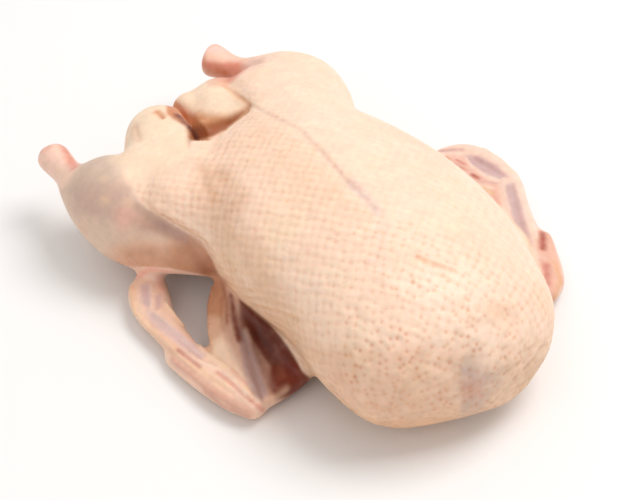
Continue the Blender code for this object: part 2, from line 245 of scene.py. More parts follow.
def inside(outline, soft):
    """For each vertex, 1 where the camera sees it inside the outline, softened over some pixels."""
    seen = pixels_of(places)
    corners = np.array(outline, float)
    crossings = np.zeros(len(seen), bool)
    gap = np.full(len(seen), np.inf)
    for start, end in zip(corners, np.roll(corners, -1, axis=0)):
        along = end - start
        share = np.clip(((seen - start) @ along) / (along @ along), 0, 1)
        gap = np.minimum(gap, np.linalg.norm(seen - start - share[:, None] * along, axis=1))
        spans = (seen[:, 1] < start[1]) != (seen[:, 1] < end[1])
        height = np.where(along[1] == 0, 1e-9, along[1])
        meets = start[0] + (seen[:, 1] - start[1]) / height * along[0]
        crossings ^= spans & (seen[:, 0] < meets)
    return eased(0.5 + np.where(crossings, gap, -gap) / soft)


def pressed(pixels, depth, reach):
    """How far each vertex moves out when a line is pressed in by a depth; all in mm."""
    return -closeness(pixels, reach * MM) * depth * MM


def settled(shifts):
    """Moves the skin by the sum of what was pressed and raised, and keeps it on the table."""
    moved = places + facing * sum(shifts)[:, None]
    moved[:, 2] = np.maximum(moved[:, 2], 0)
    skin.data.vertices.foreach_set("co", moved.astype(np.float32).ravel())
    skin.data.update()
    return values_of(skin.data, "co"), values_of(skin.data, "normal")


print("pixel (312, 250) sees", [round(v / MM, 1) for v in on_skin((312, 250))[0]], "mm")

# %% [markdown]
# ## Creases and folds
# Some folds are too fine for the solid: the groove over the breastbone, two short creases on the
# breast, the edge of the flank's skin over the drumstick and the fold beside the tail. Each is a
# line of the picture with a depth and a reach. A crease with a raised lip beside it reads as a
# fold of loose skin, so the main ones get both.

# %% Press the creases
KEEL = [(224, 86), (248, 104), (271, 115), (300, 130), (320, 150), (345, 180), (375, 210)]
TAIL_FOLD = [(222, 85), (236, 96), (250, 106)]
FLAP_EDGE = [(134, 192), (145, 208), (164, 219), (184, 231), (203, 242), (211, 257), (219, 276)]
BREAST_CREASE, SHORT_CREASE = [(418, 258), (430, 263), (455, 272)], [(438, 275), (450, 280)]
LOW_DENT, SHOULDER_DIMPLE = [(374, 252), (380, 268)], [(495, 304), (496, 312)]
FLAP_LIP = [(156, 207), (168, 213), (186, 223), (203, 234), (214, 248), (220, 264)]
CREASES = {
    "keel": (KEEL, 0.7, 2.6),
    "fold beside the tail": (TAIL_FOLD, 0.3, 2.5),
    "flap's edge": (FLAP_EDGE[2:], 1.2, 3.0),
    "flap's tail end": (FLAP_EDGE[:3], 0.4, 4.0),
    "flap's lip": (FLAP_LIP, -0.9, 4.0),
    "breast crease": (BREAST_CREASE, 0.7, 2.2),
    "lip over the breast crease": ([(415, 253), (435, 260), (458, 268)], -0.4, 2.5),
    "short crease": (SHORT_CREASE, 0.5, 1.8),
    "upper dent": ([(378, 225), (381, 238)], 0.4, 3.5),
    "lower dent": (LOW_DENT, 0.5, 3.5),
    "shoulder dimple": (SHOULDER_DIMPLE, 0.5, 5.0),
    "crease in the fat": ([(135, 127), (139, 141)], 0.6, 3.0),
    "nick over the vent": ([(158, 112), (163, 118)], 1.2, 2.2),
    "flank's hollow": ([(201, 160), (201, 176), (206, 190)], 0.5, 5.0),
}
WRINKLES_BY_TAIL = [
    [(229, 84), (240, 91), (250, 98)],
    [(233, 82), (244, 90), (254, 96)],
    [(238, 81), (248, 88)],
]
WRINKLES_ON_FLANK = [
    [(238, 292), (262, 291), (285, 297)],
    [(243, 299), (268, 300), (292, 308)],
    [(250, 307), (275, 311), (298, 320)],
]
WRINKLES_AT_NECK = [
    [(545, 345), (532, 362), (516, 378)],
    [(549, 354), (536, 371), (520, 388)],
    [(538, 342), (524, 360), (508, 374)],
    [(536, 364), (524, 378)],
]
creases = [pressed(*crease) for crease in CREASES.values()]
creases += [pressed(line, 0.22, 1.8) for line in WRINKLES_BY_TAIL]
creases += [pressed(line, 0.6, 1.9) for line in WRINKLES_ON_FLANK]
creases += [pressed(line, 0.7, 2.2) for line in WRINKLES_AT_NECK]
print(len(creases), "creases, deepest", round(float(-sum(creases).min()) / MM, 2), "mm")

# %% [markdown]
# ## Bones and tendons of the wings
# The skin of a plucked wing is thin and shows the two bones of the forearm, the long bones of the
# hand, and the tendons that run along them, with flat muscles sunk in between. They are ridges
# and grooves along lines of the picture, as the creases are.

# %% Raise the bones, sink the muscles
NEAR_HAND_OUTER = [(131, 288), (135, 312), (147, 327), (166, 341), (186, 360), (207, 375), (228, 388)]
NEAR_HAND_INNER = [(166, 304), (178, 320), (192, 337), (205, 352), (222, 364), (238, 377), (252, 398)]
NEAR_HAND_MUSCLE = [(152, 315), (165, 326), (180, 339), (195, 351), (206, 360)]
NEAR_THUMB = [(172, 360), (190, 374), (208, 389), (228, 402), (250, 412)]
NEAR_THUMB_GROOVE = [(178, 352), (192, 363), (210, 378), (232, 394)]
NEAR_ULNA = [(213, 288), (210, 310), (210, 335), (216, 354)]
NEAR_RADIUS = [(231, 318), (236, 340), (242, 362), (252, 385)]
NEAR_FOREARM_GROOVE = [(223, 296), (223, 325), (230, 352), (238, 370)]
NEAR_FOREARM_MUSCLE = [(243, 330), (250, 355), (260, 385), (264, 398)]
WRIST_TENDON = [(198, 360), (215, 367), (232, 378), (246, 394)]
THUMB_TENDON = [(208, 371), (226, 383), (242, 398), (254, 408)]
FINGER_HOLLOWS = ([(146, 288), (146, 307)], [(157, 297), (157, 308)])
FINGER_TENDON = [(151, 285), (152, 308)]
FAR_HAND_OUTER = [(484, 149), (500, 159), (516, 174), (522, 188), (529, 212), (536, 236)]
FAR_HAND_INNER = [(503, 178), (504, 192), (509, 208)]
FAR_HAND_MUSCLE = [(512, 186), (515, 204), (521, 224), (529, 244)]
FAR_FINGER_MUSCLE = [(474, 159), (488, 167), (503, 175)]
FAR_FINGER_TENDON = [(465, 157), (473, 168), (487, 177), (503, 181)]
FAR_ELBOW_GROOVE = [(441, 151), (461, 150)]
WING_RELIEF = [
    (NEAR_HAND_OUTER, -1.2, 2.8),
    (NEAR_HAND_INNER, -1.2, 2.2),
    (NEAR_HAND_MUSCLE, 1.3, 3.0),
    (NEAR_THUMB, -1.0, 3.2),
    (NEAR_THUMB_GROOVE, 1.2, 2.0),
    (FINGER_HOLLOWS[0], 1.0, 2.4),
    (FINGER_HOLLOWS[1], 0.7, 1.8),
    (FINGER_TENDON, -0.5, 1.6),
    (NEAR_ULNA, -1.2, 3.2),
    (NEAR_RADIUS, -1.2, 3.0),
    (NEAR_FOREARM_GROOVE, 1.2, 2.8),
    (NEAR_FOREARM_MUSCLE, 1.2, 3.5),
    (WRIST_TENDON, -0.8, 1.6),
    (THUMB_TENDON, -0.7, 1.6),
    (FAR_HAND_OUTER, -1.0, 2.4),
    (FAR_HAND_INNER, -0.8, 2.0),
    (FAR_HAND_MUSCLE, 1.2, 3.2),
    (FAR_FINGER_MUSCLE, 1.2, 3.2),
    (FAR_FINGER_TENDON, -0.9, 1.8),
    (FAR_ELBOW_GROOVE, 0.5, 1.6),
]
wing_relief = [pressed(*ridge) for ridge in WING_RELIEF]
print(len(wing_relief), "ridges and grooves on the wings")

# %% [markdown]
# ## Where feathers grew
# The follicles show on the trunk and on the skin that hangs over the drumstick. They fade out on
# the legs, round the tail and on the wings. So every vertex gets a share from 0 to 1, from its
# place on the body and from outlines of the bare parts in the picture.

# %% Share of plumage
DRUMSTICK_OUTLINE = [
    (30, 130), (78, 163), (95, 148), (117, 146), (120, 165), (126, 180), (134, 193), (145, 209),
    (164, 220), (184, 232), (203, 243), (211, 258), (220, 282), (100, 300), (30, 230),
]
NEAR_WING_OUTLINE = [
    (217, 277), (236, 297), (250, 307), (265, 319), (281, 337), (293, 354), (302, 371), (315, 382),
    (255, 440), (110, 340), (110, 265), (170, 268),
]
TAIL_OUTLINE = [
    (110, 160), (120, 120), (150, 95), (200, 70), (226, 83), (251, 108), (236, 122), (214, 138),
    (198, 146), (185, 160), (150, 178), (128, 180),
]
FAR_WING_OUTLINE = [
    (428, 147), (446, 158), (470, 178), (500, 206), (530, 240), (545, 280), (551, 310), (580, 300),
    (560, 200), (490, 130),
]
FAR_LEG_OUTLINE = [(190, 40), (270, 40), (248, 70), (228, 84), (200, 80)]
SMOOTH_FAR_SIDE = [
    (215, 60), (250, 100), (300, 124), (345, 176), (380, 208), (440, 232), (520, 262), (570, 290),
    (620, 200), (400, 60), (300, 20),
]
SMOOTH_THIGH = [(215, 60), (250, 106), (300, 130), (350, 150), (390, 120), (340, 60), (270, 30)]
FLANK_BY_THE_FLAP = [(128, 150), (186, 142), (200, 172), (186, 190), (160, 186), (132, 178)]
PLUMAGE_FROM, PLUMAGE_FULL = -118 * MM, -88 * MM
PLUMAGE_LOW, PLUMAGE_LOW_FULL = 10 * MM, 22 * MM
FAR_PLUMAGE_FULL, FAR_PLUMAGE_TO = 78 * MM, 98 * MM
along_body = eased((places[:, 0] - PLUMAGE_FROM) / (PLUMAGE_FULL - PLUMAGE_FROM))
above_table = eased((places[:, 2] - PLUMAGE_LOW) / (PLUMAGE_LOW_FULL - PLUMAGE_LOW))
beside_far_wing = eased((FAR_PLUMAGE_TO - places[:, 1]) / (FAR_PLUMAGE_TO - FAR_PLUMAGE_FULL))
plumage = along_body * above_table * beside_far_wing
for bare in (DRUMSTICK_OUTLINE, NEAR_WING_OUTLINE, FAR_WING_OUTLINE, FAR_LEG_OUTLINE):
    plumage *= 1 - inside(bare, 8)
plumage *= 1 - inside(TAIL_OUTLINE, 14)
plumage *= 1 - 0.5 * inside(SMOOTH_FAR_SIDE, 40)
plumage *= 1 - 0.4 * inside(SMOOTH_THIGH, 40)
plumage *= 1 - 0.3 * inside(FLANK_BY_THE_FLAP, 20)
print("plumage covers", round(float((plumage > 0.3).mean()) * 100), "% of the vertices")

# %% [markdown]
# ## Loose, uneven skin
# Plucked skin over fat is never quite even. A smooth noise raises and sinks it by fractions of a
# millimetre: broad, faint swells everywhere, and clear lumps at the neck end, where the skin lies
# loose. The follicles are also deeper in some places than in others.

# %% Swells and lumps
LUMPY_NECK_END = [
    (330, 350), (380, 318), (470, 318), (520, 330), (548, 350), (500, 405), (410, 436), (330, 400),
]
LUMPY_BREAST = [
    (345, 240), (400, 225), (470, 265), (530, 300), (556, 350), (500, 420), (400, 440), (310, 380),
    (330, 300),
]


def cloud(size, seed):
    """Smooth noise from about -1 to 1 at every vertex, with lumps of a size in mm."""
    shift = Vector((seed, 2 * seed, 3 * seed))
    return np.array([noise.noise(Vector(place) / (size * MM) + shift) for place in places])


neck_end = inside(LUMPY_NECK_END, 50)
lumpiness = np.maximum(neck_end, 0.6 * inside(LUMPY_BREAST, 60))
on_trunk = eased(plumage * 3)
# Width and seed of each swell, its height in mm everywhere, and how much more where it is lumpy
SWELLS = [(26, 1.7, 0.4, 0), (11, 4.1, 0.1, 0.45), (4.6, 7.3, 0.06, 0.6)]
swells = [
    cloud(width, seed) * on_trunk * (height + lumps * lumpiness) * MM
    for width, seed, height, lumps in SWELLS
]
plumage *= np.clip(1 + 0.45 * cloud(13, 9.9) + 0.7 * cloud(4.5, 5.1), 0.1, None)
print("swells from", round(float(sum(swells).min()) / MM, 2),
      "to", round(float(sum(swells).max()) / MM, 2), "mm")

places, facing = settled(creases + wing_relief + swells)


# %% [markdown]
# ## Rows of feather follicles
# A duck's feathers grow in slanting rows, about 5 mm apart, and the plump skin is pinned down
# where each one stood. A regular grid laid over the body would stretch, and random points show
# no rows. So the rows are grown: from one follicle the next ones are set a pitch away along two
# slanting directions, wherever no other stands yet. Where rows meet unevenly they break, as they
# do on the bird.

# %% Grow the follicles
ROW_SLANTS = (math.radians(27), math.radians(121))
FIRST_FOLLICLE = (300, 210)
PITCH_AT_TAIL, PITCH_AT_BREAST = 4.6 * MM, 5.4 * MM
PITCH_GROWS_FROM, PITCH_GROWS_TO = -100 * MM, 60 * MM
CROWDED, SAME = 0.66, 0.42
STRAYING, LUMPY_STRAYING = 0.3, 0.5
STRAYING_WIDTH = 3 * MM
LEAST_PLUMAGE = 0.04

sight_tree = BVHTree.FromObject(skin, bpy.context.evaluated_depsgraph_get())


def pitch_at(point):
    """How far apart the follicles stand, a little farther towards the breast."""
    share = min(max((point.x - PITCH_GROWS_FROM) / (PITCH_GROWS_TO - PITCH_GROWS_FROM), 0), 1)
    return PITCH_AT_TAIL + (PITCH_AT_BREAST - PITCH_AT_TAIL) * share


def grown_follicles(first):
    """Points on the skin in slanting rows, and the pairs of neighbours."""
    points, normals, pairs = [first[0]], [first[1]], set()
    cells = {}
    cell_size = PITCH_AT_BREAST

    def cell_of(point):
        return tuple(int(math.floor(value / cell_size)) for value in point)

    def nearest(point):
        cx, cy, cz = cell_of(point)
        best = (math.inf, None)
        for x in (cx - 1, cx, cx + 1):
            for y in (cy - 1, cy, cy + 1):
                for z in (cz - 1, cz, cz + 1):
                    for index in cells.get((x, y, z), ()):
                        best = min(best, ((points[index] - point).length, index))
        return best

    cells.setdefault(cell_of(first[0]), []).append(0)
    waiting = deque([0])
    while waiting:
        index = waiting.popleft()
        point, normal = points[index], normals[index]
        along = (Vector((1, 0, 0)) - normal * normal.x).normalized()
        pitch = pitch_at(point)
        for slant in ROW_SLANTS:
            direction = Quaternion(normal, slant) @ along
            for sign in (1, -1):
                aim = point + direction * sign * pitch
                place, place_normal, face, _ = sight_tree.find_nearest(aim)
                if plumage[skin.data.polygons[face].vertices[0]] < LEAST_PLUMAGE:
                    continue
                gap, neighbour = nearest(place)
                if gap < SAME * pitch:
                    pairs.add((min(index, neighbour), max(index, neighbour)))
                elif gap > CROWDED * pitch:
                    points.append(place)
                    normals.append(place_normal)
                    cells.setdefault(cell_of(place), []).append(len(points) - 1)
                    pairs.add((index, len(points) - 1))
                    waiting.append(len(points) - 1)
    return points, sorted(pair for pair in pairs if pair[0] != pair[1])


def strayed(point):
    """The follicle moved a little aside, and farther where the skin is lumpy."""
    face = sight_tree.find_nearest(point)[2]
    share = STRAYING + LUMPY_STRAYING * lumpiness[skin.data.polygons[face].vertices[0]]
    aside = noise.noise_vector(point / STRAYING_WIDTH) * share * PITCH_AT_BREAST
    return sight_tree.find_nearest(point + aside)[0]


follicle_points, follicle_pairs = grown_follicles(on_skin(FIRST_FOLLICLE))
follicle_points = [strayed(point) for point in follicle_points]
follicle_mesh = bpy.data.meshes.new("follicles")
follicle_mesh.from_pydata(follicle_points, follicle_pairs, [])
follicles = piece_from("follicle_rows", follicle_mesh)
follicles.hide_render = True
print(len(follicle_points), "follicles,", len(follicle_pairs), "links between neighbours")

# %% [markdown]
# ## Colours and shader groups
# Raw skin is pale fat seen through a thin translucent layer. Its broad colours differ from part
# to part, so they are painted on as an attribute, and what repeats at small scale comes from
# noise in the material. The blotches and the fine grain are wanted in every raw surface here, so
# they are one shader group with its own sizes.

# %% Shader group for raw surfaces
def colour(red, green, blue):
    """A colour given as it looks on a screen, 0 to 255, as the linear values a shader needs."""
    def linear(value):
        value /= 255
        return value / 12.92 if value <= 0.04045 else ((value + 0.055) / 1.055) ** 2.4
    return (linear(red), linear(green), linear(blue), 1.0)


def set_inputs(node, values):
    """Sets inputs of a node, each by its name."""
    for name, value in values.items():
        node.inputs[name].default_value = value


def node_with(nodes, kind, values):
    """A new node with some of its inputs set."""
    node = nodes.new(kind)
    set_inputs(node, values)
    return node


def raw_surface_group():
    """Blotches and grain from Object coordinates, as values from 0 to 1."""
    group = bpy.data.node_groups.new("raw_surface", "ShaderNodeTree")
    face = group.interface
    face.new_socket("Vector", in_out="INPUT", socket_type="NodeSocketVector")
    for name, start in (("Blotch Size", 30.0), ("Grain Size", 900.0)):
        socket = face.new_socket(name, in_out="INPUT", socket_type="NodeSocketFloat")
        socket.default_value = start
    for name in ("Blotches", "Grain", "Cells"):
        face.new_socket(name, in_out="OUTPUT", socket_type="NodeSocketFloat")
    nodes, links = group.nodes, group.links
    given, made = nodes.new("NodeGroupInput"), nodes.new("NodeGroupOutput")
    blotches = node_with(nodes, "ShaderNodeTexNoise", {"Detail": 3, "Roughness": 0.55})
    links.new(given.outputs["Vector"], blotches.inputs["Vector"])
    links.new(given.outputs["Blotch Size"], blotches.inputs["Scale"])
    clearer = node_with(nodes, "ShaderNodeMapRange", {"From Min": 0.32, "From Max": 0.68})
    links.new(blotches.outputs["Fac"], clearer.inputs["Value"])
    grain = node_with(nodes, "ShaderNodeTexNoise", {"Detail": 4, "Roughness": 0.6})
    links.new(given.outputs["Vector"], grain.inputs["Vector"])
    links.new(given.outputs["Grain Size"], grain.inputs["Scale"])
    cells = nodes.new("ShaderNodeTexVoronoi")
    cells.feature = "SMOOTH_F1"
    links.new(given.outputs["Vector"], cells.inputs["Vector"])
    links.new(given.outputs["Grain Size"], cells.inputs["Scale"])
    links.new(clearer.outputs["Result"], made.inputs["Blotches"])
    links.new(grain.outputs["Fac"], made.inputs["Grain"])
    links.new(cells.outputs["Distance"], made.inputs["Cells"])
    return group


raw_surface = raw_surface_group()
print("shader group", raw_surface.name, "with", len(raw_surface.nodes), "nodes")

# %% [markdown]
# ## The skin's material
# The painted tint is the base. Rosy blotches vary it, the follicles darken it a little, and a
# fine grain bumps it. A little light is let through the surface, which softens the shading as
# fat does. The painted wetness makes bare flesh smoother and glossier than the dry skin.

# %% Plucked skin
BUMP_HEIGHT = 0.12 * MM


def attribute_node(nodes, name):
    """A node that reads a painted attribute of the mesh."""
    node = nodes.new("ShaderNodeAttribute")
    node.attribute_type = "GEOMETRY"
    node.attribute_name = name
    return node


def feed(links, value, socket):
    """Links a socket from another one, or sets it to a plain value."""
    if isinstance(value, bpy.types.NodeSocket):
        links.new(value, socket)
    else:
        socket.default_value = value


def mixed(nodes, links, blend, factor, first, second):
    """A colour mix node; each input is a socket to link or a plain value."""
    node = nodes.new("ShaderNodeMix")
    node.data_type = "RGBA"
    node.blend_type = blend
    for number, value in ((0, factor), (6, first), (7, second)):
        feed(links, value, node.inputs[number])
    return node.outputs[2]


def scaled(nodes, links, value, factor, offset=0.0):
    """value times factor plus offset, which may be a socket too."""
    node = nodes.new("ShaderNodeMath")
    node.operation = "MULTIPLY_ADD"
    for socket, given in zip(node.inputs, (value, factor, offset)):
        feed(links, given, socket)
    return node.outputs[0]


def plucked_skin():
    """Pale raw skin: painted tint, rosy blotches, darker follicles, fine grain."""
    material = bpy.data.materials.new("plucked_skin")
    material.use_nodes = True
    nodes, links = material.node_tree.nodes, material.node_tree.links
    shader = nodes["Principled BSDF"]
    where = nodes.new("ShaderNodeTexCoord")
    surface = nodes.new("ShaderNodeGroup")
    surface.node_tree = raw_surface
    set_inputs(surface, {"Blotch Size": 38, "Grain Size": 760})
    links.new(where.outputs["Object"], surface.inputs["Vector"])
    tint = attribute_node(nodes, "tint").outputs["Color"]
    pore = attribute_node(nodes, "pore").outputs["Fac"]
    wetness = attribute_node(nodes, "wetness").outputs["Fac"]
    blotchy = mixed(nodes, links, "MULTIPLY",
                    scaled(nodes, links, surface.outputs["Blotches"], 0.45), tint, (1.0, 0.93, 0.88, 1))
    grainy = mixed(nodes, links, "MULTIPLY",
                   scaled(nodes, links, surface.outputs["Grain"], 0.5), blotchy, (0.88, 0.84, 0.80, 1))
    pored = mixed(nodes, links, "MULTIPLY", pore, grainy, (0.95, 0.88, 0.82, 1))
    links.new(pored, shader.inputs["Base Color"])
    dry = scaled(nodes, links, surface.outputs["Grain"], 0.16, 0.42)
    links.new(scaled(nodes, links, wetness, -0.16, dry), shader.inputs["Roughness"])
    grain_bump = node_with(nodes, "ShaderNodeBump", {"Strength": 0.55, "Distance": BUMP_HEIGHT})
    links.new(surface.outputs["Grain"], grain_bump.inputs["Height"])
    cell_bump = node_with(nodes, "ShaderNodeBump", {"Strength": 0.4, "Distance": BUMP_HEIGHT})
    links.new(surface.outputs["Cells"], cell_bump.inputs["Height"])
    links.new(grain_bump.outputs["Normal"], cell_bump.inputs["Normal"])
    links.new(cell_bump.outputs["Normal"], shader.inputs["Normal"])
    set_inputs(shader, {
        "Specular IOR Level": 0.35,
        "Subsurface Weight": 0.22,
        "Subsurface Radius": (1.0, 0.45, 0.25),
        "Subsurface Scale": 3.5 * MM,
    })
    return material


skin_material = plucked_skin()
print("material", skin_material.name, "with", len(skin_material.node_tree.nodes), "nodes")

# %% [markdown]
# ## Dimples at the follicles
# Geometry Nodes fit here, because the dimples follow the skin and repeat thousands of times. The
# tree measures how far each vertex is from the nearest follicle and from the nearest link between
# two follicles. The first presses a dimple, the second a shallow groove, so the skin swells into
# soft little cushions between them, and both fade with the plumage. It also keeps a mark of each
# pore for the colour.

# %% Geometry Nodes tree
def follicle_tree(material):
    """A tree that dimples a skin at follicles; its sizes are inputs."""
    tree = bpy.data.node_groups.new("follicle_dimples", "GeometryNodeTree")
    face = tree.interface
    face.new_socket("Geometry", in_out="INPUT", socket_type="NodeSocketGeometry")
    face.new_socket("Follicles", in_out="INPUT", socket_type="NodeSocketObject")
    for name in ("Dimple Depth", "Dimple Radius", "Groove Depth", "Groove Radius",
                 "Pore Radius", "Link Shade", "Loose Pits", "Loose Links"):
        face.new_socket(name, in_out="INPUT", socket_type="NodeSocketFloat")
    face.new_socket("Geometry", in_out="OUTPUT", socket_type="NodeSocketGeometry")
    nodes, links = tree.nodes, tree.links
    given, made = nodes.new("NodeGroupInput"), nodes.new("NodeGroupOutput")

    def math_node(operation, first, second):
        node = nodes.new("ShaderNodeMath")
        node.operation = operation
        for socket, value in zip(node.inputs, (first, second)):
            feed(links, value, socket)
        return node.outputs[0]

    def fading(distance, radius):
        node = node_with(nodes, "ShaderNodeMapRange", {"From Min": 0, "To Min": 1, "To Max": 0})
        node.interpolation_type = "SMOOTHSTEP"
        links.new(distance, node.inputs["Value"])
        links.new(radius, node.inputs["From Max"])
        return node.outputs["Result"]

    rows = nodes.new("GeometryNodeObjectInfo")
    links.new(given.outputs["Follicles"], rows.inputs["Object"])

    def distance_to(kind):
        near = nodes.new("GeometryNodeProximity")
        near.target_element = kind
        links.new(rows.outputs["Geometry"], near.inputs[0])
        return near.outputs["Distance"]

    to_follicle, to_link = distance_to("POINTS"), distance_to("EDGES")

    def painted(name):
        node = nodes.new("GeometryNodeInputNamedAttribute")
        node.data_type = "FLOAT"
        node.inputs["Name"].default_value = name
        return node.outputs[0]

    share, loose = painted("plumage"), painted("lumpiness")
    pit_growth = math_node("ADD", 1.0, math_node("MULTIPLY", loose, given.outputs["Loose Pits"]))
    link_loss = math_node("SUBTRACT", 1.0, math_node("MULTIPLY", loose, given.outputs["Loose Links"]))
    dimple = math_node("MULTIPLY", fading(to_follicle, given.outputs["Dimple Radius"]),
                       math_node("MULTIPLY", given.outputs["Dimple Depth"], pit_growth))
    groove = math_node("MULTIPLY", fading(to_link, given.outputs["Groove Radius"]),
                       math_node("MULTIPLY", given.outputs["Groove Depth"], link_loss))
    depth = math_node("MULTIPLY", math_node("ADD", dimple, groove), share)
    normal = nodes.new("GeometryNodeInputNormal")
    inward = nodes.new("ShaderNodeVectorMath")
    inward.operation = "SCALE"
    links.new(normal.outputs["Normal"], inward.inputs[0])
    links.new(math_node("MULTIPLY", depth, -1.0), inward.inputs["Scale"])
    marked = nodes.new("GeometryNodeStoreNamedAttribute")
    marked.data_type, marked.domain = "FLOAT", "POINT"
    marked.inputs["Name"].default_value = "pore"
    shaded = math_node("MULTIPLY", fading(to_link, given.outputs["Pore Radius"]),
                       math_node("MULTIPLY", given.outputs["Link Shade"], link_loss))
    shaded = math_node("MAXIMUM", fading(to_follicle, given.outputs["Pore Radius"]), shaded)
    pore = math_node("MULTIPLY", shaded, share)
    links.new(given.outputs["Geometry"], marked.inputs["Geometry"])
    links.new(pore, marked.inputs["Value"])
    moved = nodes.new("GeometryNodeSetPosition")
    links.new(marked.outputs["Geometry"], moved.inputs["Geometry"])
    links.new(inward.outputs["Vector"], moved.inputs["Offset"])
    real = nodes.new("GeometryNodeRealizeInstances")
    links.new(moved.outputs["Geometry"], real.inputs["Geometry"])
    dressed = nodes.new("GeometryNodeSetMaterial")
    dressed.inputs["Material"].default_value = material
    links.new(real.outputs["Geometry"], dressed.inputs["Geometry"])
    links.new(dressed.outputs["Geometry"], made.inputs["Geometry"])
    return tree


def grown_with(thing, tree, settings):
    """Runs a tree on an object with named settings and keeps the plain mesh."""
    modifier = thing.modifiers.new(tree.name, "NODES")
    modifier.node_group = tree
    for item in tree.interface.items_tree:
        if item.item_type == "SOCKET" and item.in_out == "INPUT" and item.name in settings:
            modifier[item.identifier] = settings[item.name]
    return finished(thing)


def painted_values(mesh, name, values):
    """Stores one number for each vertex under a name."""
    layer = mesh.attributes.new(name, "FLOAT", "POINT")
    layer.data.foreach_set("value", values.astype(np.float32))


painted_values(skin.data, "plumage", plumage)
painted_values(skin.data, "lumpiness", lumpiness)
DIMPLES = {
    "Follicles": follicles,
    "Dimple Depth": 0.35 * MM,
    "Dimple Radius": 2.5 * MM,
    "Groove Depth": 0.19 * MM,
    "Groove Radius": 1.8 * MM,
    "Pore Radius": 2.0 * MM,
    "Link Shade": 0.35,
    "Loose Pits": 0.1,
    "Loose Links": 0.6,
}
grown_with(skin, follicle_tree(skin_material), DIMPLES)
bpy.data.objects.remove(follicles)
print("dimpled skin:", len(skin.data.vertices), "vertices, material", skin.data.materials[0].name)

# %% [markdown]
# ## Painting the skin
# The broad colours are laid on like glazes, one over the other: first a cream all over, then what
# lies under the skin of each part. A patch fills an outline of the picture and a stroke follows a
# line of it. Each row says what it shows, how soft its edge is, how strong the coat is, and which
# colour it has.

# %% Glazes, patches and strokes
places, facing = values_of(skin.data, "co"), values_of(skin.data, "normal")
sight_tree = BVHTree.FromObject(skin, bpy.context.evaluated_depsgraph_get())
pores = np.zeros(len(places), np.float32)
skin.data.attributes["pore"].data.foreach_get("value", pores)


def glazed(below, share, shade):
    """The colours below with a share of a shade over them, vertex by vertex."""
    return below + (np.array(colour(*shade)) - below) * share[:, None]


STROKE_SPREAD = 1.5
ragged = 1 + 0.3 * cloud(6, 1.3) + 0.25 * cloud(2.8, 8.8)


def with_patches(below, rows, where):
    """Lays patches on: outline, softness in pixels, strength, shade."""
    for outline, soft, strength, shade in rows:
        share = np.clip(inside(outline, soft) * (0.6 + 0.4 * ragged), 0, 1)
        below = glazed(below, share * strength * where, shade)
    return below


def with_strokes(below, rows, where):
    """Lays ragged strokes on: line, reach in mm before it spreads, strength, shade."""
    for line, reach, strength, shade in rows:
        share = np.clip(closeness(line, reach * STROKE_SPREAD * MM) * ragged, 0, 1)
        below = glazed(below, share * strength * where, shade)
    return below


def softened(below, rounds):
    """Lets the paint run a little: each vertex takes half of its colour from its neighbours."""
    ends = np.zeros(len(skin.data.edges) * 2, np.int32)
    skin.data.edges.foreach_get("vertices", ends)
    first, second = ends.reshape(-1, 2).T
    count = np.bincount(ends, minlength=len(below))
    for _ in range(rounds):
        around = np.stack([
            np.bincount(first, below[second, band], len(below))
            + np.bincount(second, below[first, band], len(below))
            for band in range(below.shape[1])
        ], axis=1)
        below = 0.5 * below + 0.5 * around / count[:, None]
    return below


def with_specks(below, line, strew, count, size, shade):
    """Strews small specks beside a line; strew and size in mm."""
    marks, _ = traced(line)
    for number in range(count):
        mark = Vector(marks[number * len(marks) // count])
        aim = mark + noise.noise_vector(mark * 900 + Vector((number, 0, 0))) * strew * MM
        place = np.array(sight_tree.find_nearest(aim)[0])
        gap = np.linalg.norm(places - place, axis=1)
        below = glazed(below, (1 - eased(gap / (size * MM))) * 0.9, shade)
    return below


print("pores mark", int((pores > 0.5).sum()), "of", len(places), "vertices")

# %% [markdown]
# ## Broad colours
# The trunk is a pale cream. Where the skin turns down towards the table it is painted a warmer,
# darker tan as painted shade, and faint rosy and yellowish clouds keep it from being one flat tone.

# %% Paint the trunk
CREAM, PAINTED_LOW_SHADE, ROSE, STRAW = (252, 222, 200), (225, 181, 142), (247, 207, 183), (249, 223, 191)
tint = np.tile(np.array(colour(*CREAM)), (len(places), 1))
tint = glazed(tint, eased(cloud(34, 3.1)) * 0.5, ROSE)
tint = glazed(tint, eased(cloud(27, 6.3)) * 0.5, STRAW)
# Painted shade: skin that turns down towards the table is glazed a warmer, darker tan.
tint = glazed(tint, eased((0.45 - facing[:, 2]) / 1.1) * 0.9, PAINTED_LOW_SHADE)
everywhere = np.ones(len(places))
KEEL_AT_TAIL, KEEL_MIDDLE, KEEL_END = KEEL[:2], KEEL[1:], [(352, 183), (365, 196), (378, 212)]
TRUNK_LINES = {
    "keel at the tail": (KEEL_AT_TAIL, 2.6, 0.8, (226, 170, 134)),
    "fold beside the tail": (TAIL_FOLD, 2.2, 0.7, (232, 172, 128)),
    "keel": (KEEL_MIDDLE, 1.8, 0.55, (222, 196, 184)),
    "keel's end": (KEEL_END, 3.6, 0.55, (226, 206, 206)),
    "rosy spot at the keel": ([(350, 182), (358, 187)], 2.4, 0.6, (234, 192, 176)),
    "breast crease": (BREAST_CREASE, 1.7, 0.6, (238, 188, 152)),
    "short crease": (SHORT_CREASE, 1.4, 0.45, (242, 200, 166)),
    "upper dent": ([(380, 222), (381, 240)], 5.0, 0.3, (236, 216, 204)),
    "lower dent": (LOW_DENT, 5.0, 0.3, (236, 216, 204)),
    "shoulder dimple": (SHOULDER_DIMPLE, 6.0, 0.35, (246, 208, 178)),
}
tint = with_strokes(tint, TRUNK_LINES.values(), everywhere)
tint = with_strokes(tint, [(line, 1.5, 0.4, (224, 186, 154)) for line in WRINKLES_AT_NECK], everywhere)
tint = with_strokes(tint, [(line, 1.3, 0.3, (222, 182, 150)) for line in WRINKLES_ON_FLANK], everywhere)
